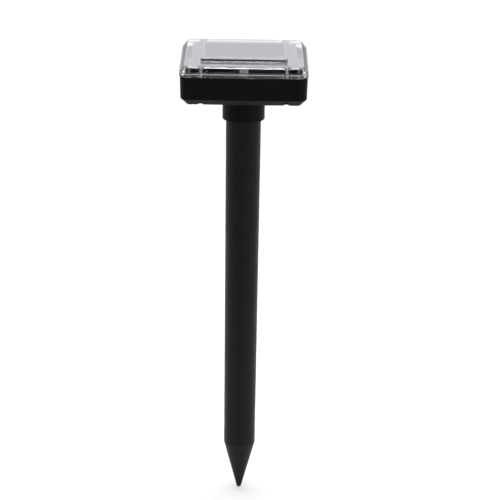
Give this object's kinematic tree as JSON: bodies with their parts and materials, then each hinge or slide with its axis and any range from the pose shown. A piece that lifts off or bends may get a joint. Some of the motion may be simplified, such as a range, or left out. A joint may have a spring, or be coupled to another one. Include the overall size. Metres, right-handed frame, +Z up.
{
  "type": "solar stake repeller",
  "caption": "Square solar head with a clear cover on a tapering ground stake; it sounds down the hollow stake to drive pests off.",
  "frame": {"origin": "the point of the stake's tip, on the stake's axis", "axes": "+Z up along the stake to the head, -Y the front, +X to the right seen from the front"},
  "size_m": [0.115, 0.115, 0.4342],
  "materials": {
    "clear_cover": "clear, polished",
    "black_housing": "fine satin",
    "black_stake": "satin",
    "seal_rubber": "matte",
    "zinc_screw": "zinc plated",
    "tray_black": "gloss",
    "panel_board": "matte",
    "solar_cell": "dark blue silicon",
    "panel_resin": "clear resin",
    "board_green": "solder mask",
    "component_black": "moulded",
    "capacitor_sleeve": "shrink sleeve",
    "coil_copper": "enamelled wire",
    "socket_nylon": "natural nylon",
    "light_clear": "tinted clear",
    "guide_frosted": "frosted clear",
    "battery_wrap": "printed sleeve",
    "holder_black": "moulded",
    "contact_nickel": "nickel plated",
    "sound_shell": "moulded",
    "sound_iron": "plated",
    "diaphragm_metal": "rolled",
    "button_black": "satin",
    "switch_plastic": "moulded",
    "lead_red": "insulation",
    "lead_black": "insulation"
  },
  "bodies": {
    "stake": {"stake_tube": "black_stake", "stake_tip": "black_stake", "tube_ring": "seal_rubber"},
    "head": {"battery_cell_1": "battery_wrap", "battery_cell_2": "battery_wrap", "battery_holder": "holder_black", "battery_lead_minus": "lead_black", "battery_lead_plus": "lead_red", "battery_socket": "socket_nylon", "bezel_nut": "button_black", "board_screw_1": "zinc_screw", "board_screw_2": "zinc_screw", "board_screw_3": "zinc_screw", "board_screw_4": "zinc_screw", "boost_coil": "coil_copper", "button_bezel": "button_black", "circuit_board": "board_green", "clamp_screw_1": "zinc_screw", "clamp_screw_2": "zinc_screw", "clamp_screw_3": "zinc_screw", "collar": "black_housing", "contact_link": "contact_nickel", "contact_minus": "contact_nickel", "contact_plus": "contact_nickel", "controller_chip": "component_black", "cover": "clear_cover", "cover_gasket": "seal_rubber", "cover_screw_1": "zinc_screw", "cover_screw_2": "zinc_screw", "cover_screw_3": "zinc_screw", "cover_screw_4": "zinc_screw", "housing": "black_housing", "indicator_light": "light_clear", "large_capacitor": "capacitor_sleeve", "light_guide": "guide_frosted", "panel_lead_minus": "lead_black", "panel_lead_plus": "lead_red", "panel_socket": "socket_nylon", "panel_tray": "tray_black", "power_transistor": "component_black", "small_capacitor": "capacitor_sleeve", "solar_backing": "panel_board", "solar_cells": "solar_cell", "solar_resin": "panel_resin", "sound_clamp": "sound_shell", "sound_diaphragm": "diaphragm_metal", "sound_frame": "sound_shell", "sound_lead_minus": "lead_black", "sound_lead_plus": "lead_red", "sound_magnet": "sound_iron", "sound_socket": "socket_nylon", "switch_body": "switch_plastic", "switch_lead_minus": "lead_black", "switch_lead_plus": "lead_red", "switch_socket": "socket_nylon", "switch_terminals": "contact_nickel"},
    "button": {"power_button": "button_black", "switch_stem": "switch_plastic"}
  },
  "joints": [
    {"name": "head_lift", "type": "slide", "parent": "stake", "child": "head", "axis": [0, 0, 1], "range_m": [0, 0.03]},
    {"name": "power_press", "type": "slide", "parent": "head", "child": "button", "axis": [0, 0, 1], "range_m": [0, 0.0012], "stiffness_N_per_m": 600, "springref_m": -0.001}
  ]
}
